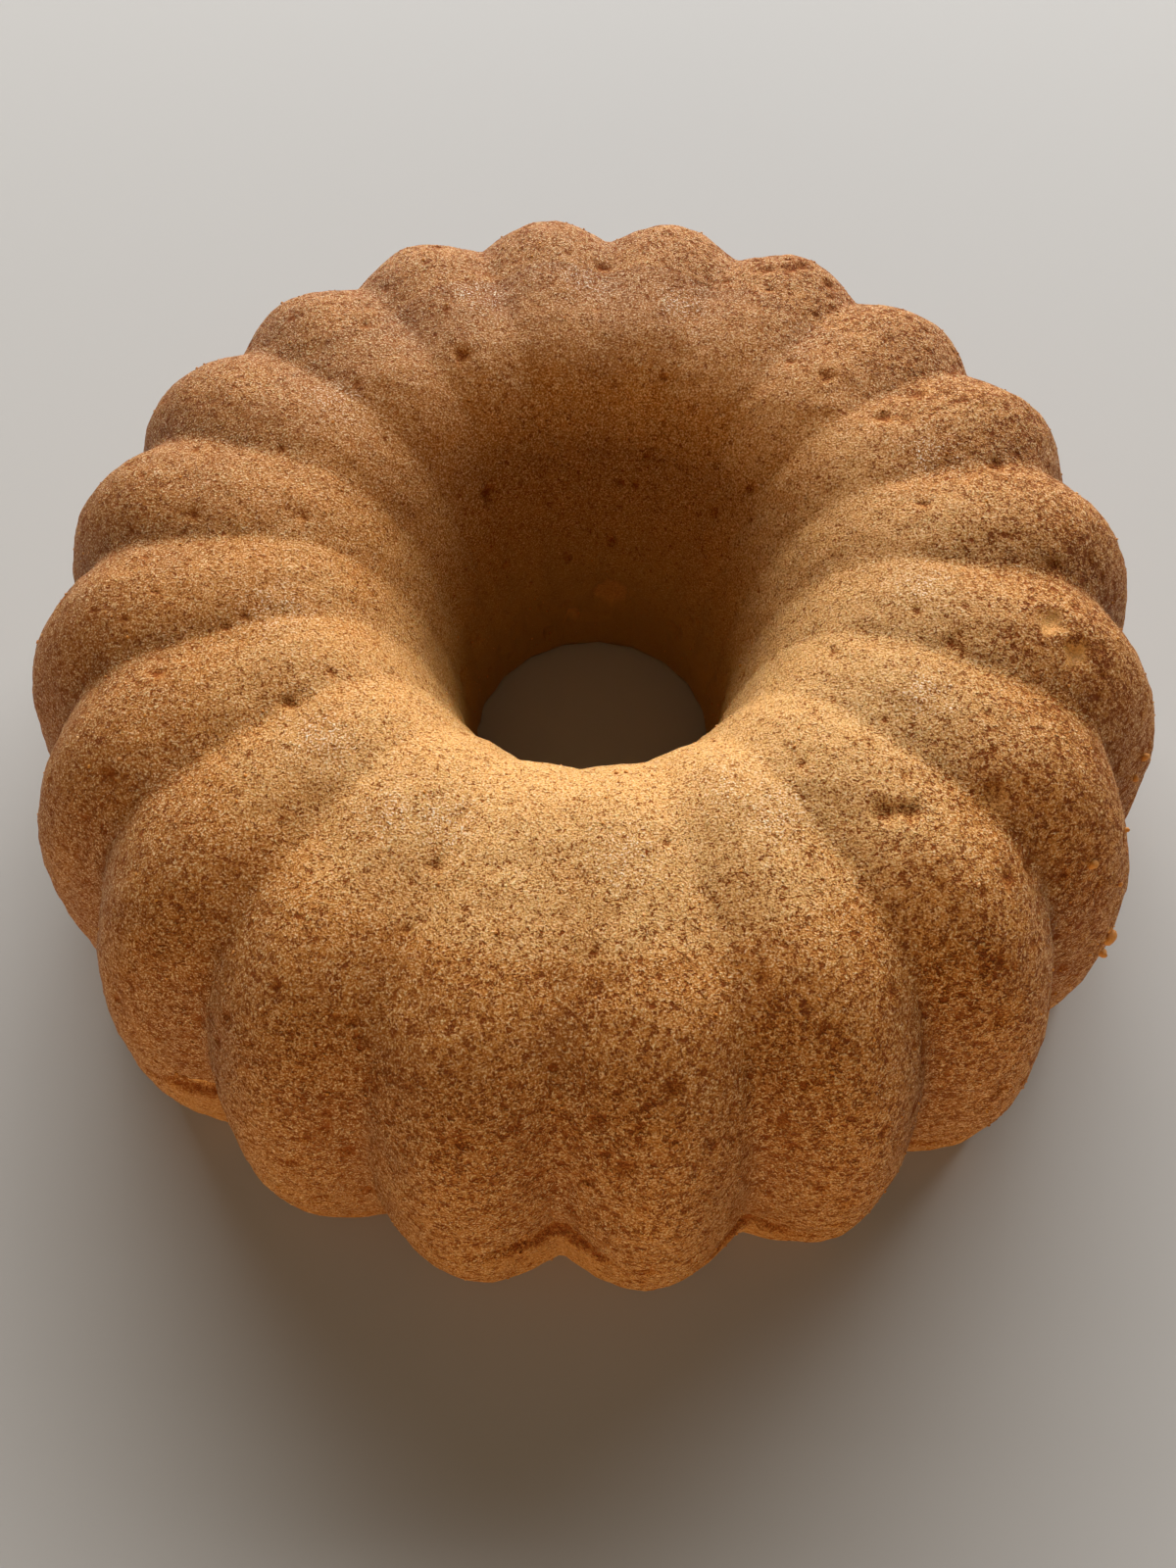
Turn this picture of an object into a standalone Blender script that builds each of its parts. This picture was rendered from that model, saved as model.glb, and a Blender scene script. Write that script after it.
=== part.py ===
"""A fluted ring cake, turned out of its tin: one solid piece of cake, crust and crumb together.

The ring is a body of revolution, closed at the bottom by a flat base. Its outer wall rises to a
broad crown and falls from there as a funnel into the hole. Twenty round lobes run down the wall,
with a groove between each two, and the grooves run out towards the hole.

Metres, +Z up. The origin is on the base, in the middle of the outline, and -Y is the front.
"""

import math
import random

import bmesh
import bpy
from mathutils import Vector

# The ring
OUTER_DIAMETER = 0.240
HEIGHT = 0.0793
CROWN_DIAMETER = 0.154
BELLY_HEIGHT = 0.004

# Squareness of the wall and of the funnel, across and upwards: 2 and 2 would be an ellipse
WALL_ACROSS = 2.70
WALL_UP = 1.86
FUNNEL_ACROSS = 3.90
FUNNEL_UP = 1.86

# The hole, whose middle sits a little behind the middle of the outline
HOLE_DIAMETER = 0.0555
HOLE_SHIFT = Vector((0.0007, 0.0043, 0.0))

# The two round edges of the base
BASE_ROUNDING = 0.0030
HOLE_ROUNDING = 0.0025

# The lobes
LOBES = 20
FIRST_CREST = math.radians(-102.4)
SHOULDER_DEPTH = 0.0081
BASE_DEPTH = 0.0073
FUNNEL_DEPTH = 0.0004
GROOVE_FADE = 1.8
GROOVE_SOFTNESS = 0.45

# How uneven the baked cake is
SEED = 20
CREST_SPREAD = 0.0005
DEPTH_SPREAD = 0.07
SAG = 0.0006

# Fineness of the mesh
STEPS_PER_LOBE = 8
WALL_RINGS = 15
FUNNEL_RINGS = 12
ROUNDING_RINGS = 2
CURVE_SAMPLES = 400

# Golden brown crust, sRGB
CRUST_SRGB = (0.69, 0.46, 0.25)
CRUST_ROUGHNESS = 0.75

OUTER_RADIUS = OUTER_DIAMETER / 2
CROWN_RADIUS = CROWN_DIAMETER / 2
HOLE_RADIUS = HOLE_DIAMETER / 2


def clear_scene():
    for old in list(bpy.data.objects):
        bpy.data.objects.remove(old)


def linear(channel):
    """One sRGB channel as the linear value that a shader takes."""
    if channel <= 0.04045:
        return channel / 12.92
    return ((channel + 0.055) / 1.055) ** 2.4


def evenly_spaced(curve, count):
    """`count` + 1 points along a finely sampled curve, at equal distances."""
    lengths = [0.0]
    for start, end in zip(curve, curve[1:]):
        lengths.append(lengths[-1] + math.dist(start, end))
    points = [curve[0]]
    at = 1
    for step in range(1, count):
        wanted = lengths[-1] * step / count
        while lengths[at] < wanted:
            at += 1
        part = (wanted - lengths[at - 1]) / (lengths[at] - lengths[at - 1])
        (r0, z0), (r1, z1) = curve[at - 1], curve[at]
        points.append((r0 + part * (r1 - r0), z0 + part * (z1 - z0)))
    points.append(curve[-1])
    return points


def quarter(foot_radius, foot_height, across, up):
    """A quarter of a superellipse as (radius, height), from its upright foot to the crown."""
    curve = []
    for step in range(CURVE_SAMPLES + 1):
        turn = math.pi / 2 * step / CURVE_SAMPLES
        out = max(math.cos(turn), 0.0) ** (2 / across)
        rise = math.sin(turn) ** (2 / up)
        radius = CROWN_RADIUS + (foot_radius - CROWN_RADIUS) * out
        curve.append((radius, foot_height + (HEIGHT - foot_height) * rise))
    return evenly_spaced(curve, WALL_RINGS if foot_radius > CROWN_RADIUS else FUNNEL_RINGS)


def round_edge(edge_radius, rounding, outward):
    """The rounded edge of the base: from the flat up to the wall, with `outward` +1 or -1."""
    points = []
    for step in range(ROUNDING_RINGS + 1):
        turn = math.pi / 2 * step / ROUNDING_RINGS
        radius = edge_radius - outward * rounding * (1 - math.sin(turn))
        points.append((radius, rounding * (1 - math.cos(turn))))
    return points


def profile():
    """The closed section of the ring through a crest: base edge, wall, crown, funnel, hole edge."""
    wall = quarter(OUTER_RADIUS, BELLY_HEIGHT, WALL_ACROSS, WALL_UP)
    funnel = quarter(HOLE_RADIUS, HOLE_ROUNDING, FUNNEL_ACROSS, FUNNEL_UP)
    outer_edge = round_edge(OUTER_RADIUS, BASE_ROUNDING, 1)
    hole_edge = round_edge(HOLE_RADIUS, HOLE_ROUNDING, -1)
    return outer_edge + wall + funnel[-2::-1] + hole_edge[-2::-1]


def turned_ring():
    """The plain ring, spun from its section. The section's last edge sweeps out the flat base."""
    bm = bmesh.new()
    section = [bm.verts.new((radius, 0.0, height)) for radius, height in profile()]
    edges = [bm.edges.new(pair) for pair in zip(section, section[1:] + section[:1])]
    bmesh.ops.spin(
        bm,
        geom=section + edges,
        cent=(0, 0, 0),
        axis=(0, 0, 1),
        angle=math.tau,
        steps=LOBES * STEPS_PER_LOBE,
        use_merge=True,
    )
    bmesh.ops.recalc_face_normals(bm, faces=bm.faces)
    bm.normal_update()
    return bm


def groove_shape(turn):
    """0 on the crest of a lobe and 1 at the bottom of a groove, for a turn of -0.5 to 0.5 lobes."""
    arch = 4 * turn * turn
    wave = 0.5 - 0.5 * math.cos(math.tau * turn)
    return arch + GROOVE_SOFTNESS * (wave - arch)


def uneven_lobes():
    """For each lobe how far its crest stands out, and for each groove its share of the depth."""
    draw = random.Random(SEED)
    crests = [draw.uniform(-CREST_SPREAD, CREST_SPREAD) for _ in range(LOBES)]
    depths = [1 + draw.uniform(-DEPTH_SPREAD, DEPTH_SPREAD) for _ in range(LOBES)]
    return crests, depths


def groove_depth(radius, height):
    """Full depth at the shoulder, a little less at the base, and next to none in the funnel."""
    reach = max(0.0, (radius - HOLE_RADIUS) / (OUTER_RADIUS - HOLE_RADIUS))
    depth = FUNNEL_DEPTH + (SHOULDER_DEPTH - FUNNEL_DEPTH) * reach**GROOVE_FADE
    if radius > CROWN_RADIUS:
        depth -= (SHOULDER_DEPTH - BASE_DEPTH) * max(0.0, 1 - 2 * height / HEIGHT)
    return depth


def flute(bm):
    """Presses the grooves between the lobes into the plain ring, along its own normals."""
    crests, depths = uneven_lobes()
    for vert in bm.verts:
        radius = math.hypot(vert.co.x, vert.co.y)
        place = (math.atan2(vert.co.y, vert.co.x) - FIRST_CREST) / math.tau * LOBES
        lobe = round(place)
        turn = place - lobe
        groove = lobe if turn > 0 else lobe - 1
        pressed = groove_shape(turn)
        depth = groove_depth(radius, vert.co.z)
        swell = crests[lobe % LOBES] * (1 - pressed) * depth / SHOULDER_DEPTH
        inward = -vert.normal
        if vert.co.z < BELLY_HEIGHT:
            inward = Vector((inward.x, inward.y, 0.0)).normalized()
        vert.co += inward * (depth * depths[groove % LOBES] * pressed - swell)


def settle(bm):
    """Moves the hole off the middle and lets the crown sag a little, unevenly."""
    for vert in bm.verts:
        radius = math.hypot(vert.co.x, vert.co.y)
        angle = math.atan2(vert.co.y, vert.co.x)
        inner = min(1.0, max(0.0, (OUTER_RADIUS - radius) / (OUTER_RADIUS - HOLE_RADIUS)))
        sag = SAG * (1 + math.sin(2 * angle + 0.6) * 0.6 + math.sin(3 * angle) * 0.4) / 2
        vert.co += HOLE_SHIFT * inner
        vert.co.z -= sag * vert.co.z / HEIGHT


def centre(bm):
    """Puts the middle of the outline over the origin."""
    for axis in (0, 1):
        places = [vert.co[axis] for vert in bm.verts]
        middle = (min(places) + max(places)) / 2
        for vert in bm.verts:
            vert.co[axis] -= middle


def crust_material():
    material = bpy.data.materials.new("golden_crust")
    material.use_nodes = True
    shader = material.node_tree.nodes["Principled BSDF"]
    shader.inputs["Base Color"].default_value = (*map(linear, CRUST_SRGB), 1.0)
    shader.inputs["Roughness"].default_value = CRUST_ROUGHNESS
    shader.inputs["Metallic"].default_value = 0.0
    return material


def ring_cake():
    bm = turned_ring()
    flute(bm)
    settle(bm)
    centre(bm)
    bmesh.ops.recalc_face_normals(bm, faces=bm.faces)
    mesh = bpy.data.meshes.new("ring_cake")
    bm.to_mesh(mesh)
    bm.free()
    mesh.shade_smooth()
    mesh.materials.append(crust_material())
    cake = bpy.data.objects.new("ring_cake", mesh)
    bpy.context.scene.collection.objects.link(cake)


clear_scene()
ring_cake()
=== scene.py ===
"""The looks of a plain fluted ring cake: its baked crust, the crumbs that cling to it, and a studio.

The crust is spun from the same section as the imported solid, with the same lobes, and then gets the
unevenness of a baked cake: soft lumps, pores, torn pits and torn feet of grooves. Metres, +Z up, -Y
towards the camera.
"""

import math
import random

import bmesh
import bpy
from bpy.props import FloatProperty, FloatVectorProperty, IntProperty, PointerProperty
from mathutils import Matrix, Vector, noise
from mathutils.kdtree import KDTree


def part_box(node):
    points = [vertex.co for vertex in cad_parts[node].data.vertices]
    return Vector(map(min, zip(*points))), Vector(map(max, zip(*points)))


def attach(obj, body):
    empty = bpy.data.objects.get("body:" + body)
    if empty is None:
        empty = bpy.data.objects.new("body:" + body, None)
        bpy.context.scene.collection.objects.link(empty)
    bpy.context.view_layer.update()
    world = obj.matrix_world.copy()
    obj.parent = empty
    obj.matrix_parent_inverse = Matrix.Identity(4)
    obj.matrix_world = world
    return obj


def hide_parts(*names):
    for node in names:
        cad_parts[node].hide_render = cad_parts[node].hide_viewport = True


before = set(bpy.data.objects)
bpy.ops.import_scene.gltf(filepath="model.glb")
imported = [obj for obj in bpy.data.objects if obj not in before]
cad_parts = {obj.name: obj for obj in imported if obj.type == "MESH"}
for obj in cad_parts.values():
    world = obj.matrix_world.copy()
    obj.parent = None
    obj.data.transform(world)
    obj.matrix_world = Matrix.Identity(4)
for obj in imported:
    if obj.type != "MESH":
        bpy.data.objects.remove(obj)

bl_info = {
    "name": "Fluted Ring Cake",
    "version": (1, 0, 0),
    "blender": (4, 5, 0),
    "location": "3D View > Sidebar > Ring Cake",
    "description": "Crust, crumbs, floor, light and camera for a fluted ring cake",
    "category": "Object",
}

MM = 0.001

# Squareness of the wall and of the funnel, across and upwards: 2 and 2 would be an ellipse
WALL_SQUARENESS = (2.70, 1.86)
FUNNEL_SQUARENESS = (3.90, 1.86)
CURVE_SAMPLES = 800

# The floor: flat to this radius, then turning up. It lies a little below the cake.
FLOOR_RADIUS = 2.7
SWEEP = 1.3
SWEEP_STEPS = 12
FLOOR_STEPS = 96
FLOOR_GAP = 0.1 * MM

# The lights: direction from +X and height in degrees, and distance in metres, then width and depth
WINDOW_PLACE = (82, 29, 3.0)
WINDOW_SIZE = (4.6, 2.1)
BOUNCE_PLACE = (262, 8, 1.3)
BOUNCE_SIZE = (1.4, 0.25)

# The camera: where it is, and in degrees how far it looks to the left, looks down and leans
CAMERA_PLACE = (0.0, -0.1268, 0.2367)
CAMERA_TURN = 0.42
CAMERA_DIP = 63.3
CAMERA_LEAN = 1.12

# Fineness of the crust's mesh: about 1.1 mm wherever it shows
STEPS_PER_LOBE = 24
WALL_RINGS = 84
FUNNEL_RINGS = 92
ROUNDING_RINGS = 5
BASE_RINGS = 12

# Random draws of the solid, which the crust repeats, of the crust's own unevenness and of its crumbs
SOLID_SEED = 20
CRUST_SEED = 7
CRUMB_SEED = 11

# The lowest points with lumps, with pores and with crumbs: the flat base and its edge stay plain
LUMPS_ABOVE = 0.5 * MM
PORES_ABOVE = 3 * MM
CRUMBS_ABOVE = 2 * MM

# Crumbs are made in batches, because one bmesh gets slow as it grows
CRUMB_BATCH = 60

# Where the crust changes, as distance from the axis: the pale rim of the crown ends, the crumb is
# fully open, and only the outer wall is further out
PALE_RIM = 55 * MM
OPEN_CRUMB = 90 * MM
OUTER_WALL = 90 * MM

# Above this share of the height the cake counts as its crown
CROWN_SHARE = 0.8

# A torn foot: half its width in degrees, and the highest point that it changes
FOOT_WIDTH = 4.0
FOOT_TOP = 45 * MM

# What each point of the crust carries for the material. Hidden is how much the tube of the tin hid it.
MARKS = ("browned_and_shaded", "coarse", "sleek", "greasy_and_painted_glint", "hidden", "pit", "torn")

# How cells of the two sizes gape: the width of the slope at their walls as a share of the cell, the
# channel of the cell's colour that is its random lot, what a coarse crumb adds to that lot, and the
# lots at which a cell is still shut and fully agape
FINE_CELLS = {"slope": 0.20, "channel": "Red", "gain": 0.32, "shut": 0.78, "agape": 1.08}
WIDE_CELLS = {"slope": 0.22, "channel": "Green", "gain": 0.38, "shut": 0.98, "agape": 1.32}

# Where the crust is torn: direction from +X in degrees, distance from the axis and height in mm,
# half length and depth of the tear in mm, and how much pale crumb shows in it
TORN_PLACES = (
    (-12.0, 82.6, 78.8, 2.4, 1.5, 0.95),
    (-14.7, 87.4, 77.2, 2.8, 1.5, 0.95),
    (-36.4, 82.6, 76.4, 2.4, 0.4, 0.5),
    (-48.5, 70.6, 79.2, 2.2, 1.3, 0.15),
    (-46.2, 73.4, 79.2, 1.9, 1.3, 0.15),
    (-97.2, 114.6, 29.0, 1.9, 1.3, 0.1),
    (-98.6, 115.6, 30.0, 2.0, 1.4, 0.1),
    (-100.8, 117.1, 31.2, 1.7, 1.1, 0.1),
    (-74.5, 113.1, 13.0, 2.2, 1.5, 0.3),
    (-133.2, 113.8, 28.0, 2.2, 1.6, 0.1),
    (-131.6, 113.0, 27.0, 2.4, 0.7, 1.0),
    (-68.6, 115.7, 36.2, 1.8, 0.9, 0.2),
    (50.6, 31.9, 17.5, 2.4, 1.3, 0.1),
    (82.0, 33.0, 22.0, 4.6, 0.8, 0.4),
    (97.0, 32.0, 14.0, 2.0, 1.0, 0.4),
)

# The grooves whose foot tore off in the tin: direction from +X in degrees, how badly, and the
# height of the crack in mm
TORN_FEET = (
    (-93.4, 1.0, 25.0),
    (-75.4, 0.9, 11.0),
    (-131.0, 1.0, 24.0),
    (-57.4, 0.4, 9.0),
    (-149.4, 0.6, 12.0),
    (32.6, 0.8, 6.0),
    (104.6, 0.6, 5.0),
)

# Where grease came to the surface, glossy and with a painted glint: how far such a spot reaches, then
# for each its direction from +X in degrees and its distance from the axis in mm
GREASY_GLINT_REACH = 4.5 * MM
GREASY_GLINT_PLACES = (
    (-122, 61), (-114, 58), (-85, 60), (-64, 52), (-140, 59), (-170, 57), (-60, 61), (-29, 65),
    (142, 64), (108, 72), (90, 72), (73, 69), (20, 70), (-8, 60),
)

# The larger crumbs: direction from +X in degrees, distance from the axis, height and radius in mm
LARGE_CRUMBS = (
    (-31.9, 115.4, 37.0, 1.2),
    (-31.6, 115.0, 39.5, 0.8),
    (-32.0, 116.3, 32.5, 1.1),
    (-27.5, 105.8, 61.0, 0.6),
    (-17.5, 108.6, 50.7, 0.8),
    (-16.4, 108.8, 54.0, 0.9),
    (-31.5, 109.5, 55.0, 0.5),
    (-84.3, 40.6, 69.6, 0.5),
    (-81.4, 40.4, 69.4, 0.4),
    (-34.5, 101.5, 66.0, 0.9),
    (146.0, 112.0, 40.0, 0.9),
    (70.0, 116.0, 22.0, 1.0),
)


def srgb(code):
    """An sRGB hex colour as linear RGBA."""
    channels = [int(code[at : at + 2], 16) / 255 for at in (1, 3, 5)]
    return (*(c / 12.92 if c <= 0.04045 else ((c + 0.055) / 1.055) ** 2.4 for c in channels), 1.0)


def size(name, description, millimetres):
    """A length that a user may change."""
    return FloatProperty(name=name, description=description, default=millimetres * MM, unit="LENGTH")


def ratio(name, description, default):
    """A share or a strength without a unit that a user may change."""
    return FloatProperty(name=name, description=description, default=default, subtype="FACTOR")


def colour(name, description, code):
    """A colour that a user may change."""
    return FloatVectorProperty(
        name=name, description=description, size=4, subtype="COLOR", min=0, max=1, default=srgb(code)
    )


def power(name, description, watts):
    """The power of a lamp, which a user may change."""
    return FloatProperty(name=name, description=description, default=watts, unit="POWER")


def spot(azimuth, out, up=0.0):
    """The point in this direction in degrees, at this distance from the axis and this height in mm."""
    turn = math.radians(azimuth)
    return Vector((math.cos(turn) * out, math.sin(turn) * out, up)) * MM


def rising(value, start, end):
    """0 at the start and 1 at the end, which may lie below it, and held there beyond them."""
    return min(1.0, max(0.0, (value - start) / (end - start)))


class RingSizes(bpy.types.PropertyGroup):
    """The section of the ring through a crest, and where the hole sits."""

    outer_diameter: size("Outer diameter", "Across the belly, from crest to crest", 240)
    height: size("Height", "From the base to the crown", 79.3)
    crown_diameter: size("Crown diameter", "Across the highest line of the ring", 154)
    belly_height: size("Belly height", "Where the wall is upright", 4)
    hole_diameter: size("Hole diameter", "Across the foot of the funnel", 55.5)
    base_rounding: size("Base rounding", "Radius of the outer edge of the base", 3)
    hole_rounding: size("Hole rounding", "Radius of the base's edge at the hole", 2.5)
    hole_right: size("Hole to the right", "Shift of the hole along X", 0.7)
    hole_back: size("Hole to the back", "Shift of the hole along Y", 4.3)
    sag: size("Sag", "How far the crown sinks in places", 0.6)


class LobeSizes(bpy.types.PropertyGroup):
    """The lobes that the tin presses into the cake."""

    count: IntProperty(name="Lobes", description="How many lobes run down the wall", default=20)
    first_crest: FloatProperty(
        name="First crest",
        description="Direction of one crest, from +X",
        default=math.radians(-102.4),
        subtype="ANGLE",
    )
    shoulder_depth: size("Shoulder depth", "Depth of the grooves at the shoulder", 8.1)
    base_depth: size("Base depth", "Depth of the grooves at the base", 7.3)
    funnel_depth: size("Funnel depth", "Depth of the grooves in the funnel", 0.4)
    fade: ratio("Fade", "How fast the grooves run out", 1.8)
    softness: ratio("Softness", "Roundness of the groove's bottom", 0.28)
    crest_spread: size("Crest spread", "How unevenly the crests stand out", 0.5)
    depth_spread: ratio("Depth spread", "How uneven the grooves are", 0.07)


class CrustRelief(bpy.types.PropertyGroup):
    """What the oven and the turning out leave on the surface."""

    lump_height: size("Lump height", "Height of the soft lumps", 0.45)
    lump_length: size("Lump length", "Length of the soft lumps", 13)
    dimple_height: size("Dimple height", "Height of the small dimples", 0.28)
    dimple_length: size("Dimple length", "Length of the small dimples", 3.2)
    pits: IntProperty(name="Pits", description="How many pores are large enough to dent it", default=420)
    pit_radius: size("Pit radius", "Half the length of the widest of these pores", 1.9)
    pit_depth: size("Pit depth", "Depth of the deepest of these pores", 0.8)
    crack_wander: size("Crack wander", "How far the crack at a torn foot strays up and down", 2.2)
    crack_width: size("Crack width", "Half the width of the crack", 1.0)
    lip_fade: size("Lip fade", "How far above the crack the groove is whole again", 16)
    lip_depth: size("Lip depth", "How far the groove sinks above the crack", 1.5)
    lip_swell: size("Lip swell", "How far the lip below the crack stands out", 0.8)


class SpongeGrain(bpy.types.PropertyGroup):
    """The open crumb that the torn crust shows."""

    grit: size("Grit", "Width of the finest grain", 0.38)
    fine_pore: size("Fine pores", "Width of the small open cells", 0.66)
    wide_pore: size("Wide pores", "Width of the large open cells", 1.3)
    ragged: size("Raggedness", "How far the outline of a cell wanders", 2.2)
    ragged_length: size("Ragged length", "Length over which it wanders", 0.9)
    patch: size("Patches", "Length of the paler and browner patches", 9)
    relief: size("Relief", "Height of the grain above the bottom of its pores", 0.42)


class CrumbSizes(bpy.types.PropertyGroup):
    """Loose crumbs that cling to the crust."""

    count: IntProperty(name="Crumbs", description="How many small crumbs there are", default=2600)
    smallest: size("Smallest", "Radius of the smallest crumbs", 0.14)
    largest: size("Largest", "Radius of the largest of the small crumbs", 0.34)


class CrustColours(bpy.types.PropertyGroup):
    """Colours of the crust, of the open crumb below it and of what lies on it."""

    golden: colour("Golden", "Where the crust is thin, on the crown", "#E1A961")
    brown: colour("Brown", "The crust of the shoulders", "#C98434")
    # The grooves, the back and the left reach this colour partly through painted shade
    dark: colour("Dark", "Where it is most browned, in the grooves and on the wall", "#9E601E")
    tube: colour("Tube", "The smooth crust that baked against the tube of the tin", "#B08A48")
    # Painted shade: this dark colour stands in for the shade inside the open pores and dents
    pore_shade: colour("Pore", "Inside the open pores", "#8A430A")
    # Partly painted highlight: on the crust the high points of the grain get this pale colour for the
    # light they catch; on the crumbs it is their pale end
    dry_and_highlight: colour("Dry grain", "The dry tops of the grains", "#F9D6A4")
    # Painted highlight: the near white that the glinting spots get in their colour
    glint: colour("Glint", "Dry tops with fat on them, which catch the light", "#FFEBD2")
    crumb: colour("Crumb", "Torn crumb below the crust", "#F0B062")


class StageSettings(bpy.types.PropertyGroup):
    """The floor, the light and the camera."""

    floor: colour("Floor", "Pale matt floor", "#BDBBB8")
    window: power("Window", "Power of the large light behind", 225)
    window_tint: colour("Window tint", "Daylight", "#FFFFFF")
    bounce: power("Bounce", "Power of the weak light in front", 8.4)
    bounce_tint: colour("Bounce tint", "Light thrown back by a warm wall", "#FFDFB0")
    fill: ratio("Fill", "Strength of the light from all round", 0.08)
    fill_tint: colour("Fill tint", "Colour of the light from all round", "#FFE9C8")
    lens: FloatProperty(
        name="Lens", description="Focal length on a 36 mm sensor", default=25.07, unit="CAMERA"
    )


def evenly_spaced(curve, count):
    """`count` + 1 points along a finely sampled curve, at equal distances."""
    lengths = [0.0]
    for start, end in zip(curve, curve[1:]):
        lengths.append(lengths[-1] + math.dist(start, end))
    points = [curve[0]]
    at = 1
    for step in range(1, count):
        wanted = lengths[-1] * step / count
        while lengths[at] < wanted:
            at += 1
        part = (wanted - lengths[at - 1]) / (lengths[at] - lengths[at - 1])
        (r0, z0), (r1, z1) = curve[at - 1], curve[at]
        points.append((r0 + part * (r1 - r0), z0 + part * (z1 - z0)))
    points.append(curve[-1])
    return points


def quarter(ring, foot_radius, foot_height, squareness, rings):
    """A quarter of a superellipse as (radius, height), from its upright foot to the crown."""
    crown = ring.crown_diameter / 2
    across, up = squareness
    curve = []
    for step in range(CURVE_SAMPLES + 1):
        turn = math.pi / 2 * step / CURVE_SAMPLES
        out = max(math.cos(turn), 0.0) ** (2 / across)
        rise = math.sin(turn) ** (2 / up)
        radius = crown + (foot_radius - crown) * out
        curve.append((radius, foot_height + (ring.height - foot_height) * rise))
    return evenly_spaced(curve, rings)


def round_edge(edge_radius, rounding, outward):
    """The rounded edge of the base: from the flat up to the wall, with `outward` +1 or -1."""
    points = []
    for step in range(ROUNDING_RINGS + 1):
        turn = math.pi / 2 * step / ROUNDING_RINGS
        radius = edge_radius - outward * rounding * (1 - math.sin(turn))
        points.append((radius, rounding * (1 - math.cos(turn))))
    return points


def section(ring):
    """The closed section of the ring: base edge, wall, crown, funnel, hole edge and flat base."""
    outer, hole = ring.outer_diameter / 2, ring.hole_diameter / 2
    wall = quarter(ring, outer, ring.belly_height, WALL_SQUARENESS, WALL_RINGS)
    funnel = quarter(ring, hole, ring.hole_rounding, FUNNEL_SQUARENESS, FUNNEL_RINGS)
    outer_edge = round_edge(outer, ring.base_rounding, 1)
    hole_edge = round_edge(hole, ring.hole_rounding, -1)
    inner, breadth = hole_edge[0][0], outer_edge[0][0] - hole_edge[0][0]
    base = [(inner + breadth * step / BASE_RINGS, 0.0) for step in range(1, BASE_RINGS)]
    return outer_edge + wall + funnel[-2::-1] + hole_edge[-2::-1] + base


def turned_ring(ring, lobes):
    """The plain ring, spun from its section."""
    bm = bmesh.new()
    points = [bm.verts.new((radius, 0.0, height)) for radius, height in section(ring)]
    edges = [bm.edges.new(pair) for pair in zip(points, points[1:] + points[:1])]
    about = {"cent": (0, 0, 0), "axis": (0, 0, 1)}
    lobe = math.tau / lobes.count
    bmesh.ops.spin(bm, geom=points + edges, angle=lobe, steps=STEPS_PER_LOBE, **about)
    one_lobe = bm.verts[:] + bm.edges[:] + bm.faces[:]
    rest = {"angle": math.tau - lobe, "steps": lobes.count - 1, "use_duplicate": True}
    bmesh.ops.spin(bm, geom=one_lobe, **rest, **about)
    bmesh.ops.remove_doubles(bm, verts=bm.verts[:], dist=0.001 * MM)
    bmesh.ops.recalc_face_normals(bm, faces=bm.faces)
    bm.normal_update()
    return bm


def turn_in_lobe(lobes, angle):
    """The number of the lobe at this angle, and how far from its crest, -0.5 to 0.5."""
    place = (angle - lobes.first_crest) / math.tau * lobes.count
    return round(place), place - round(place)


def groove_shape(lobes, turn):
    """0 on the crest of a lobe and 1 at the bottom of a groove."""
    arch = 4 * turn * turn
    wave = 0.5 - 0.5 * math.cos(math.tau * turn)
    return arch + lobes.softness * (wave - arch)


def groove_depth(ring, lobes, radius, height):
    """Full depth at the shoulder, a little less at the base, and next to none in the funnel."""
    outer, hole = ring.outer_diameter / 2, ring.hole_diameter / 2
    reach = max(0.0, (radius - hole) / (outer - hole))
    depth = lobes.funnel_depth + (lobes.shoulder_depth - lobes.funnel_depth) * reach**lobes.fade
    if radius > ring.crown_diameter / 2:
        depth -= (lobes.shoulder_depth - lobes.base_depth) * max(0.0, 1 - 2 * height / ring.height)
    return depth


def flute(bm, ring, lobes):
    """Presses the grooves between the lobes into the plain ring, along its own normals.

    Low down they are pressed in level, so that the base stays flat.
    """
    outer, hole = ring.outer_diameter / 2, ring.hole_diameter / 2
    draw = random.Random(SOLID_SEED)
    crests = [draw.uniform(-lobes.crest_spread, lobes.crest_spread) for _ in range(lobes.count)]
    depths = [1 + draw.uniform(-lobes.depth_spread, lobes.depth_spread) for _ in range(lobes.count)]
    for vert in bm.verts:
        radius = math.hypot(vert.co.x, vert.co.y)
        lobe, turn = turn_in_lobe(lobes, math.atan2(vert.co.y, vert.co.x))
        groove = lobe if turn > 0 else lobe - 1
        pressed = groove_shape(lobes, turn)
        depth = groove_depth(ring, lobes, radius, vert.co.z)
        swell = crests[lobe % lobes.count] * (1 - pressed) * depth / lobes.shoulder_depth
        inward = -vert.normal
        if vert.co.z < ring.belly_height:
            level = Vector((inward.x, inward.y, 0.0))
            faces_down = level.length < 0.1
            if faces_down:
                level = Vector((-vert.co.x, -vert.co.y, 0.0))
                depth *= max(0.0, (radius - hole) / (outer - hole))
            inward = level.normalized()
        vert.co += inward * (depth * depths[groove % lobes.count] * pressed - swell)


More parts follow.
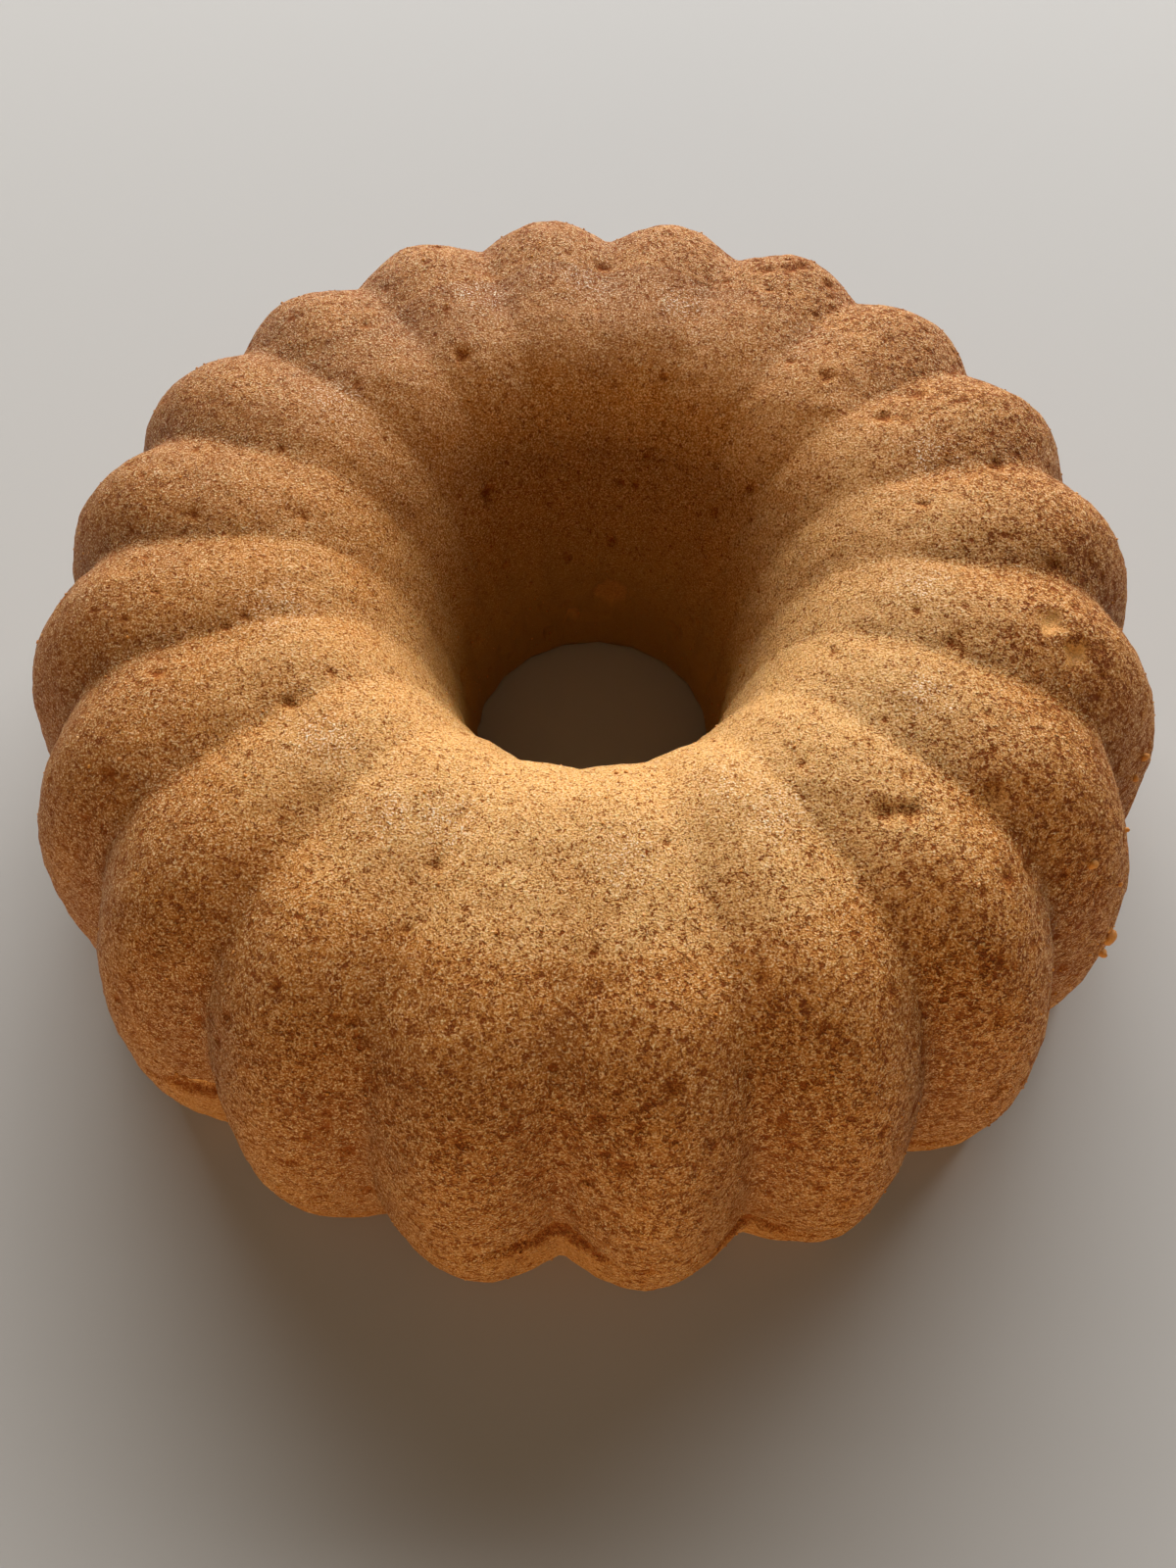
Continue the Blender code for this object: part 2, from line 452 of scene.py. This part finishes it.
def settle(bm, ring):
    """Moves the hole off the middle and lets the crown sag a little, unevenly."""
    outer, hole = ring.outer_diameter / 2, ring.hole_diameter / 2
    shift = Vector((ring.hole_right, ring.hole_back, 0.0))
    for vert in bm.verts:
        radius = math.hypot(vert.co.x, vert.co.y)
        angle = math.atan2(vert.co.y, vert.co.x)
        inner = min(1.0, max(0.0, (outer - radius) / (outer - hole)))
        sag = ring.sag * (1 + math.sin(2 * angle + 0.6) * 0.6 + math.sin(3 * angle) * 0.4) / 2
        vert.co += shift * inner
        vert.co.z -= sag * vert.co.z / ring.height


def centre(bm):
    """Puts the middle of the outline over the origin."""
    for axis in (0, 1):
        places = [vert.co[axis] for vert in bm.verts]
        middle = (min(places) + max(places)) / 2
        for vert in bm.verts:
            vert.co[axis] -= middle


def finished(name, bm, material, slot):
    """Turns a bmesh into an object at the origin. With a slot it rides with the cake."""
    mesh = bpy.data.meshes.new(name)
    bm.to_mesh(mesh)
    bm.free()
    mesh.shade_smooth()
    mesh.materials.append(material)
    piece = bpy.data.objects.new(name, mesh)
    bpy.context.scene.collection.objects.link(piece)
    if slot:
        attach(piece, "root")
    return piece


def add(tree, kind, settings, inputs):
    """Adds a node with its settings, and with a value or a link for each input. Gives its outputs."""
    made = tree.nodes.new(kind)
    for name, value in settings.items():
        setattr(made, name, value)
    for name, value in inputs.items():
        if isinstance(value, bpy.types.NodeSocket):
            tree.links.new(value, made.inputs[name])
        else:
            made.inputs[name].default_value = value
    return made.outputs


def new_material(name):
    """A material, with its node tree and its shader."""
    material = bpy.data.materials.new(name)
    material.use_nodes = True
    return material, material.node_tree, material.node_tree.nodes["Principled BSDF"]


def open_cells(tree, place, coarse, width, slope, channel, gain, shut, agape):
    """Cells of a sponge that gape between their walls, more of them where the crumb is coarse.

    Gives how open each point is, the random lot of its cell and the distance from the cell's middle.
    """
    pattern = {"Vector": place, "Scale": 1 / width}
    cell = add(tree, "ShaderNodeTexVoronoi", {}, pattern)
    edge = add(tree, "ShaderNodeTexVoronoi", {"feature": "DISTANCE_TO_EDGE"}, pattern)["Distance"]
    between = {"Value": edge, "From Min": 0.02, "From Max": slope}
    hollow = add(tree, "ShaderNodeMapRange", {"interpolation_type": "SMOOTHSTEP"}, between)[0]
    lot = add(tree, "ShaderNodeSeparateColor", {}, {"Color": cell["Color"]})[channel]
    odds = add(tree, "ShaderNodeMath", {"operation": "MULTIPLY_ADD"}, {0: coarse, 1: gain, 2: lot})[0]
    odds = {"Value": odds, "From Min": shut, "From Max": agape}
    odds = add(tree, "ShaderNodeMapRange", {}, odds)[0]
    gaping = add(tree, "ShaderNodeMath", {"operation": "MULTIPLY"}, {0: hollow, 1: odds})[0]
    return gaping, lot, cell["Distance"]


def baked_crust(colours, grain):
    """Baked butter sponge, torn by the tin: cells with painted shade inside, between dried pale grains
    with painted highlights and glints.

    The grit is drawn 0.38 mm wide, about twice its real size, the finest that shows.
    """
    material, tree, shader = new_material("baked_sponge_crust")
    place = add(tree, "ShaderNodeTexCoord", {}, {})["Object"]
    mark = {}
    for name in MARKS:
        mark[name] = add(tree, "ShaderNodeAttribute", {"attribute_name": name}, {})["Fac"]
    multiply, multiply_add = {"operation": "MULTIPLY"}, {"operation": "MULTIPLY_ADD"}
    subtract = {"operation": "SUBTRACT"}

    # The outlines of the cells wander, so that they look torn
    stray = {"Vector": place, "Scale": 1 / grain.ragged_length, "Detail": 2.0}
    stray = add(tree, "ShaderNodeTexNoise", {}, stray)["Color"]
    stray = add(tree, "ShaderNodeVectorMath", subtract, {0: stray, 1: (0.5, 0.5, 0.5)})[0]
    reach = (grain.ragged,) * 3
    warped = add(tree, "ShaderNodeVectorMath", multiply_add, {0: stray, 1: reach, 2: place})[0]
    fine, lot, middle = open_cells(tree, warped, mark["coarse"], grain.fine_pore, **FINE_CELLS)
    wide = open_cells(tree, warped, mark["coarse"], grain.wide_pore, **WIDE_CELLS)[0]
    cells = add(tree, "ShaderNodeMath", multiply_add, {0: fine, 1: 0.95, 2: wide})[0]
    whole = add(tree, "ShaderNodeMapRange", {}, {"Value": mark["torn"], "To Min": 1.0, "To Max": 0.3})[0]
    cells = add(tree, "ShaderNodeMath", multiply, {0: cells, 1: whole})[0]
    cells = add(tree, "ShaderNodeMath", multiply_add, {0: mark["pit"], 1: 0.8, 2: cells})[0]

    # Cells that are far from open stand up as grains
    dome = {"Value": middle, "From Min": 0.55, "From Max": 0.05}
    dome = add(tree, "ShaderNodeMapRange", {"interpolation_type": "SMOOTHSTEP"}, dome)[0]
    raised = add(tree, "ShaderNodeMapRange", {}, {"Value": lot, "From Min": 0.55, "From Max": 0.0})[0]
    solid = add(tree, "ShaderNodeMath", multiply, {0: dome, 1: raised})[0]
    solid = add(tree, "ShaderNodeMath", multiply, {0: solid, 1: 0.4})[0]
    solid = add(tree, "ShaderNodeMath", subtract, {0: solid, 1: cells})[0]

    # The finest grit, and all of it rubbed smooth where the tin held the crust
    grit = {"Vector": place, "Scale": 1 / grain.grit, "Detail": 2.0, "Roughness": 0.7}
    grit = add(tree, "ShaderNodeTexNoise", {}, grit)["Fac"]
    rubbed = {"Value": mark["sleek"], "To Min": 1.0, "To Max": 0.15}
    rubbed = add(tree, "ShaderNodeMapRange", {}, rubbed)[0]
    tone = add(tree, "ShaderNodeMath", multiply_add, {0: grit, 1: 5.6, 2: -2.75})[0]
    tone = add(tree, "ShaderNodeMath", multiply_add, {0: solid, 1: 1.4, 2: tone})[0]
    tone = add(tree, "ShaderNodeMath", multiply, {0: tone, 1: rubbed})[0]
    relief = add(tree, "ShaderNodeMath", multiply_add, {0: grit, 1: 0.9, 2: solid})[0]
    relief = add(tree, "ShaderNodeMath", multiply, {0: relief, 1: rubbed})[0]

    # Paler and browner patches, then painted shade in the pores, a painted highlight on the pale tops
    # and a painted glint where grease is
    patches = {"Vector": place, "Scale": 1 / grain.patch, "Detail": 3.0}
    patches = add(tree, "ShaderNodeTexNoise", {}, patches)["Fac"]
    shade = add(tree, "ShaderNodeMath", multiply_add, {0: patches, 1: 0.5, 2: mark["browned_and_shaded"]})[0]
    to_brown = add(tree, "ShaderNodeMapRange", {}, {"Value": shade, "From Max": 0.5})[0]
    to_dark = add(tree, "ShaderNodeMapRange", {}, {"Value": shade, "From Min": 0.5, "From Max": 1.0})[0]
    # Painted shade: the open cells, the dents and the low points of the grit get the dark colour of a
    # shaded hollow
    inside = add(tree, "ShaderNodeMapRange", {}, {"Value": tone, "From Min": 0.1, "From Max": -1.0})[0]
    # Painted highlight, partly pale grain: the high points of the relief get the pale colour
    tops = add(tree, "ShaderNodeMapRange", {}, {"Value": tone, "From Min": 0.15, "From Max": 1.3})[0]
    # The grease glosses through the coat, and its high points also get a painted glint, a near white in
    # the colour
    fat_and_painted_glint = add(tree, "ShaderNodeMapRange", {}, {"Value": tone, "From Min": 0.45, "From Max": 1.0})[0]
    fat_and_painted_glint = add(tree, "ShaderNodeMath", multiply, {0: fat_and_painted_glint, 1: mark["greasy_and_painted_glint"]})[0]
    layers = (
        (to_brown, colours.brown),
        (to_dark, colours.dark),
        (mark["hidden"], colours.tube),
        (mark["torn"], colours.crumb),
        (inside, colours.pore_shade),
        (tops, colours.dry_and_highlight),
        (fat_and_painted_glint, colours.glint),
    )
    skin = colours.golden
    for share, tint in layers:
        skin = add(tree, "ShaderNodeMix", {"data_type": "RGBA"}, {0: share, 6: skin, 7: tint})[2]
    tree.links.new(skin, shader.inputs["Base Color"])

    dull = add(tree, "ShaderNodeMapRange", {}, {"Value": inside, "To Min": 0.55, "To Max": 0.9})[0]
    tree.links.new(dull, shader.inputs["Roughness"])
    tree.links.new(fat_and_painted_glint, shader.inputs["Coat Weight"])
    bump = {"Height": relief, "Distance": grain.relief, "Strength": 1.0}
    bump = add(tree, "ShaderNodeBump", {}, bump)[0]
    tree.links.new(bump, shader.inputs["Normal"])
    tree.links.new(bump, shader.inputs["Coat Normal"])
    shader.inputs["Coat Roughness"].default_value = 0.22
    shader.inputs["IOR"].default_value = 1.45
    shader.inputs["Specular IOR Level"].default_value = 0.2
    shader.inputs["Subsurface Weight"].default_value = 0.25
    shader.inputs["Subsurface Radius"].default_value = (1.0, 0.45, 0.15)
    shader.inputs["Subsurface Scale"].default_value = 1.0 * MM
    return material


def dry_crumb(colours):
    """Crumbs of the same sponge, dried out: matt, grainy, and each a little paler or browner.

    Their grain is drawn 0.4 mm wide, as coarse as the grit of the crust.
    """
    material, tree, shader = new_material("dry_sponge_crumb")
    place = add(tree, "ShaderNodeTexCoord", {}, {})["Object"]
    pale = add(tree, "ShaderNodeAttribute", {"attribute_name": "pale"}, {})["Fac"]
    grain = {"Vector": place, "Scale": 1 / (0.4 * MM), "Detail": 2.0}
    grain = add(tree, "ShaderNodeTexNoise", {}, grain)["Fac"]
    shade = add(tree, "ShaderNodeMath", {"operation": "MULTIPLY_ADD"}, {0: grain, 1: 0.5, 2: pale})[0]
    shade = add(tree, "ShaderNodeMapRange", {}, {"Value": shade, "From Min": 0.4, "From Max": 1.6})[0]
    blend = {0: shade, 6: colours.brown, 7: colours.dry_and_highlight}
    skin = add(tree, "ShaderNodeMix", {"data_type": "RGBA"}, blend)[2]
    tree.links.new(skin, shader.inputs["Base Color"])
    bump = add(tree, "ShaderNodeBump", {}, {"Height": grain, "Distance": 0.15 * MM, "Strength": 1.0})[0]
    tree.links.new(bump, shader.inputs["Normal"])
    shader.inputs["Roughness"].default_value = 0.65
    shader.inputs["IOR"].default_value = 1.45
    shader.inputs["Specular IOR Level"].default_value = 0.3
    shader.inputs["Subsurface Weight"].default_value = 0.1
    shader.inputs["Subsurface Radius"].default_value = (1.0, 0.45, 0.15)
    shader.inputs["Subsurface Scale"].default_value = 0.6 * MM
    return material


def floor_paint(settings):
    """Matt paint, rolled on: one pale colour and no gloss, so that only the cake catches the light."""
    material, tree, shader = new_material("matt_floor_paint")
    shader.inputs["Base Color"].default_value = settings.floor
    shader.inputs["Roughness"].default_value = 0.9
    return material


def lumpy(bm, relief):
    """Soft lumps and small dimples, never proud of the plain form."""
    bm.normal_update()
    moves = []
    for vert in bm.verts:
        lump = noise.noise(vert.co / relief.lump_length) * relief.lump_height
        dimple = noise.noise(vert.co / relief.dimple_length) * relief.dimple_height
        moves.append(vert.normal * (lump + dimple - (relief.lump_height + relief.dimple_height) / 2))
    for vert, move in zip(bm.verts, moves):
        if vert.co.z > LUMPS_ABOVE:
            vert.co += move


def dent(bm, tree, middle, reach, depth, pale):
    """Presses one ragged tear into the crust. It gets the painted shade of the open pores, or shows pale
    crumb.
    """
    pit, torn, sleek = (bm.verts.layers.float[name] for name in ("pit", "torn", "sleek"))
    for _, index, gap in tree.find_range(middle, 1.5 * reach):
        vert = bm.verts[index]
        ragged = 1 + 0.6 * noise.noise((vert.co - middle) / (0.7 * reach) + middle * 1000)
        inside = max(0.0, 1 - (gap / (reach * ragged)) ** 2) if ragged > 0.2 else 0.0
        bare = min(1.0, 2 * inside) * pale
        vert.co -= vert.normal * depth * inside**0.7
        vert[pit] = max(vert[pit], inside * (1 - pale))
        vert[torn] = max(vert[torn], bare)
        vert[sleek] = max(vert[sleek], 0.7 * bare)


def coarseness(place):
    """How open the crumb is: most on the shoulders and the right, least on the crown by the hole."""
    out = math.hypot(place.x, place.y)
    right = 0.5 + 0.5 * place.x / out
    return rising(out, PALE_RIM, OPEN_CRUMB) * (0.35 + 0.65 * right)


def torn_crust(bm, relief):
    """The torn places that show, and pores scattered by chance where the crumb is open."""
    tree = KDTree(len(bm.verts))
    for index, vert in enumerate(bm.verts):
        tree.insert(vert.co, index)
    tree.balance()
    bm.verts.ensure_lookup_table()
    for azimuth, out, up, reach, depth, pale in TORN_PLACES:
        dent(bm, tree, tree.find(spot(azimuth, out, up))[0], reach * MM, depth * MM, pale)
    draw = random.Random(CRUST_SEED)
    made = 0
    while made < relief.pits:
        middle = bm.verts[draw.randrange(len(bm.verts))].co.copy()
        small = draw.random() ** 2.5
        if middle.z < PORES_ABOVE or draw.random() > 0.15 + 0.85 * coarseness(middle):
            continue
        reach = relief.pit_radius * (0.5 + 0.5 * small)
        dent(bm, tree, middle, reach, relief.pit_depth * (0.35 + 0.65 * small), 0.0)
        made += 1


def torn_feet(bm, relief):
    """Grooves whose foot stayed in the tin: a smooth lip below, a crack, and a sunken groove above."""
    pit, torn, sleek = (bm.verts.layers.float[name] for name in ("pit", "torn", "sleek"))
    for vert in bm.verts:
        up = vert.co.z
        if math.hypot(vert.co.x, vert.co.y) < OUTER_WALL or up > FOOT_TOP:
            continue
        facing = math.degrees(math.atan2(vert.co.y, vert.co.x))
        for azimuth, badly, crack_height in TORN_FEET:
            off = (facing - azimuth + 180) % 360 - 180
            near = badly * math.exp(-((off / FOOT_WIDTH) ** 2))
            if near < 0.02:
                continue
            stray = noise.noise(Vector((facing / 1.3, azimuth, 0)))
            lip = crack_height * MM + relief.crack_wander * stray
            above = rising(up, lip, lip + 2 * relief.crack_width)
            sunken = rising(up, lip + relief.lip_fade, lip)
            vert.co -= vert.normal * relief.lip_depth * near * above * sunken**1.5
            vert.co += vert.normal * relief.lip_swell * near * (1 - above)
            crack = math.exp(-(((up - lip) / relief.crack_width - 1.2) ** 2))
            marked = min(1.0, 1.6 * near)
            vert[pit] = max(vert[pit], marked * crack)
            vert[torn] = max(vert[torn], 0.2 * marked * (1 - above))
            vert[sleek] = max(vert[sleek], 0.45 * marked * (1 - above))


def paint(bm, ring, lobes):
    """How brown, coarse, smooth and glossy with grease the crust is, place by place; the brown carries
    painted shade too, and the grease a painted glint.
    """
    browned_and_shaded, coarse, sleek, greasy_and_painted_glint, hidden = (bm.verts.layers.float[name] for name in MARKS[:5])
    crown = ring.crown_diameter / 2
    spots = [spot(azimuth, out).xy for azimuth, out in GREASY_GLINT_PLACES]
    for vert in bm.verts:
        out = math.hypot(vert.co.x, vert.co.y)
        up = vert.co.z / ring.height
        turn = turn_in_lobe(lobes, math.atan2(vert.co.y, vert.co.x))[1]
        depth = groove_depth(ring, lobes, out, vert.co.z) / lobes.shoulder_depth
        pressed = (groove_shape(lobes, turn) - 0.35) * depth
        # The wall browns from the shoulder outwards, the funnel from the rim down the tube
        if out > crown:
            brown = 0.28 + 0.35 * rising(out, crown, crown + 25 * MM) - 0.05 * rising(up, 0.4, 0.0)
            vert[sleek] = 0.5 * rising(up, 0.15, 0.0)
        else:
            brown = 0.02 + 0.26 * rising(out, PALE_RIM, crown) + 0.5 * rising(up, 5 / 7, 0.0)
            # Painted shade and light: the back of the crown and funnel darker, the front paler
            brown += 0.26 * vert.co.y / out
            vert[hidden] = 0.8 * rising(up, 0.88, 0.38)
            vert[sleek] = rising(up, 0.65, 0.20)
        # Painted shade and light: the back and the left a little darker, the front and the right a
        # little paler
        brown += (0.10 * vert.co.y - 0.14 * vert.co.x) / out
        # Painted shade, partly real browning: the grooves darker and the crests paler
        vert[browned_and_shaded] = brown + 0.40 * pressed
        vert[coarse] = coarseness(vert.co)
        # Spots of grease, whose high points also get a painted glint
        if up > CROWN_SHARE:
            gap = min((vert.co.xy - each).length for each in spots)
            ragged = 1 + noise.noise(vert.co / (2.5 * MM))
            vert[greasy_and_painted_glint] = min(1.0, max(0.0, ragged * math.exp(-((gap / GREASY_GLINT_REACH) ** 2))))


def crumb(bm, middle, outward, radius, pale, draw, fine):
    """One ragged crumb, part of it sunk in the crust."""
    made = bmesh.ops.create_icosphere(bm, subdivisions=fine, radius=radius)["verts"]
    spun = Matrix.Rotation(draw.uniform(0, math.tau), 3, "Z")
    turned = outward.to_track_quat("Z", "Y").to_matrix() @ spun
    stretch = Vector((draw.uniform(0.8, 1.4), draw.uniform(0.7, 1.1), draw.uniform(0.6, 1.0)))
    layer = bm.verts.layers.float["pale"]
    for vert in made:
        bent = vert.co * (1 + 0.5 * noise.noise(vert.co / radius + middle * 3000))
        vert.co = turned @ (bent * stretch) + middle + outward * radius * 0.25
        vert[layer] = pale


def crumbs_object(crust, crumbs, colours):
    """The crumbs that cling to the crust: the few that stand out, and small ones scattered by chance."""
    draw = random.Random(CRUMB_SEED)
    places = crust.data.vertices
    tree = KDTree(len(places))
    for index, vert in enumerate(places):
        tree.insert(vert.co, index)
    tree.balance()
    chosen = []
    for azimuth, out, up, radius in LARGE_CRUMBS:
        index = tree.find(spot(azimuth, out, up))[1]
        chosen.append((places[index], radius * MM, 0.2, 2))
    while len(chosen) < crumbs.count + len(LARGE_CRUMBS):
        vert = places[draw.randrange(len(places))]
        if vert.co.z < CRUMBS_ABOVE or draw.random() > 0.2 + 0.8 * coarseness(vert.co):
            continue
        radius = crumbs.smallest + (crumbs.largest - crumbs.smallest) * draw.random() ** 3
        chosen.append((vert, radius, 0.7 * draw.random() ** 2, 1))
    whole = bmesh.new()
    for start in range(0, len(chosen), CRUMB_BATCH):
        bm = bmesh.new()
        bm.verts.layers.float.new("pale")
        for vert, radius, pale, fine in chosen[start : start + CRUMB_BATCH]:
            crumb(bm, vert.co, vert.normal, radius, pale, draw, fine)
        batch = bpy.data.meshes.new("batch")
        bm.to_mesh(batch)
        bm.free()
        whole.from_mesh(batch)
        bpy.data.meshes.remove(batch)
    keep_inside(whole)
    finished("loose_crumbs", whole, dry_crumb(colours), "crust")


def keep_inside(bm):
    """Holds every point within the box of the solid."""
    low, high = (Vector(corner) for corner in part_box("ring_cake"))
    for vert in bm.verts:
        vert.co = Vector(min(max(vert.co[axis], low[axis]), high[axis]) for axis in range(3))


def crust_object(ring, lobes, relief, colours, grain):
    """The whole crust: the solid's form, then what the oven and the turning out left on it."""
    bm = turned_ring(ring, lobes)
    flute(bm, ring, lobes)
    settle(bm, ring)
    centre(bm)
    bmesh.ops.recalc_face_normals(bm, faces=bm.faces)
    for name in MARKS:
        bm.verts.layers.float.new(name)
    paint(bm, ring, lobes)
    lumpy(bm, relief)
    bm.normal_update()
    torn_feet(bm, relief)
    torn_crust(bm, relief)
    keep_inside(bm)
    crust = finished("crust", bm, baked_crust(colours, grain), "crust")
    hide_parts("ring_cake")
    return crust


def area_light(name, place, breadth, watts, tint):
    """A soft rectangular lamp that faces the cake."""
    azimuth, elevation, distance = place
    east, up = math.radians(azimuth), math.radians(elevation)
    out = Vector((math.cos(east) * math.cos(up), math.sin(east) * math.cos(up), math.sin(up)))
    data = bpy.data.lights.new(name, "AREA")
    data.shape = "RECTANGLE"
    data.size, data.size_y = breadth
    data.energy = watts
    data.color = tint[:3]
    lamp = bpy.data.objects.new(name, data)
    turned = (-out).to_track_quat("-Z", "Y").to_matrix().to_4x4()
    lamp.matrix_world = Matrix.Translation(out * distance) @ turned
    bpy.context.scene.collection.objects.link(lamp)


def floor_object(settings):
    """A matt floor that turns up into a low wall all round, well away from the cake."""
    bm = bmesh.new()
    line = [bm.verts.new((0.0, 0.0, 0.0))]
    for step in range(SWEEP_STEPS + 1):
        turn = math.pi / 2 * step / SWEEP_STEPS
        out, up = FLOOR_RADIUS + SWEEP * math.sin(turn), SWEEP * (1 - math.cos(turn))
        line.append(bm.verts.new((out, 0.0, up)))
    edges = [bm.edges.new(pair) for pair in zip(line, line[1:])]
    full = {"cent": (0, 0, 0), "axis": (0, 0, 1), "angle": math.tau, "use_merge": True}
    bmesh.ops.spin(bm, geom=line + edges, steps=FLOOR_STEPS, **full)
    bmesh.ops.remove_doubles(bm, verts=bm.verts[:], dist=0.1 * MM)
    bmesh.ops.translate(bm, verts=bm.verts, vec=(0, 0, -FLOOR_GAP))
    bmesh.ops.recalc_face_normals(bm, faces=bm.faces)
    floor = finished("floor", bm, floor_paint(settings), None)


def camera_object(settings):
    """Looks down on the cake from the front, as a person does who stands over it."""
    data = bpy.data.cameras.new("camera")
    data.lens = settings.lens
    data.clip_start = 0.01
    camera = bpy.data.objects.new("camera", data)
    turned = Matrix.Rotation(math.radians(CAMERA_TURN), 4, "Z")
    tipped = Matrix.Rotation(math.radians(90 - CAMERA_DIP), 4, "X")
    rolled = Matrix.Rotation(math.radians(-CAMERA_LEAN), 4, "Z")
    camera.matrix_world = Matrix.Translation(CAMERA_PLACE) @ turned @ tipped @ rolled
    bpy.context.scene.collection.objects.link(camera)
    bpy.context.scene.camera = camera


def stage_objects(settings):
    """The floor, a large window behind, a weak light in front, the room's own light and the camera."""
    floor_object(settings)
    area_light("window", WINDOW_PLACE, WINDOW_SIZE, settings.window, settings.window_tint)
    area_light("warm_bounce", BOUNCE_PLACE, BOUNCE_SIZE, settings.bounce, settings.bounce_tint)
    world = bpy.data.worlds.new("soft_room")
    world.use_nodes = True
    sky = world.node_tree.nodes["Background"]
    sky.inputs["Color"].default_value = settings.fill_tint
    sky.inputs["Strength"].default_value = settings.fill
    bpy.context.scene.world = world
    bpy.context.scene.view_settings.view_transform = "Standard"
    camera_object(settings)


class CAKE_OT_crust(bpy.types.Operator):
    """Makes the baked crust in place of the plain ring"""

    bl_idname = "ring_cake.crust"
    bl_label = "Crust"

    def execute(self, context):
        scene = context.scene
        shape = (scene.ring_sizes, scene.lobe_sizes, scene.crust_relief)
        crust_object(*shape, scene.crust_colours, scene.sponge_grain)
        return {"FINISHED"}


class CAKE_OT_crumbs(bpy.types.Operator):
    """Scatters loose crumbs on the crust"""

    bl_idname = "ring_cake.crumbs"
    bl_label = "Crumbs"

    def execute(self, context):
        if "crust" not in bpy.data.objects:
            raise RuntimeError("The crust is made before its crumbs")
        scene = context.scene
        crumbs_object(bpy.data.objects["crust"], scene.crumb_sizes, scene.crust_colours)
        return {"FINISHED"}


class CAKE_OT_stage(bpy.types.Operator):
    """Makes the floor, the lights and the camera"""

    bl_idname = "ring_cake.stage"
    bl_label = "Stage"

    def execute(self, context):
        stage_objects(context.scene.stage_settings)
        return {"FINISHED"}


class CAKE_PT_panel(bpy.types.Panel):
    """Lists what the cake is made of"""

    bl_idname = "CAKE_PT_panel"
    bl_label = "Ring Cake"
    bl_space_type = "VIEW_3D"
    bl_region_type = "UI"
    bl_category = "Ring Cake"

    def draw(self, context):
        for name in GROUPS:
            box = self.layout.box()
            box.label(text=name.replace("_", " ").capitalize())
            group = getattr(context.scene, name)
            for entry in group.bl_rna.properties:
                if not entry.is_readonly and entry.identifier != "name":
                    box.prop(group, entry.identifier)
        for operator in OPERATORS:
            self.layout.operator(operator.bl_idname)


GROUPS = {
    "ring_sizes": RingSizes,
    "lobe_sizes": LobeSizes,
    "crust_relief": CrustRelief,
    "sponge_grain": SpongeGrain,
    "crumb_sizes": CrumbSizes,
    "crust_colours": CrustColours,
    "stage_settings": StageSettings,
}
OPERATORS = (CAKE_OT_crust, CAKE_OT_crumbs, CAKE_OT_stage)
CLASSES = (*GROUPS.values(), *OPERATORS, CAKE_PT_panel)


def register():
    for each in CLASSES:
        bpy.utils.register_class(each)
    for name, group in GROUPS.items():
        setattr(bpy.types.Scene, name, PointerProperty(type=group))


def unregister():
    for name in GROUPS:
        delattr(bpy.types.Scene, name)
    for each in reversed(CLASSES):
        bpy.utils.unregister_class(each)


def main():
    register()
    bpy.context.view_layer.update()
    bpy.ops.ring_cake.crust()
    bpy.ops.ring_cake.crumbs()
    bpy.ops.ring_cake.stage()


if __name__ == "__main__":
    main()
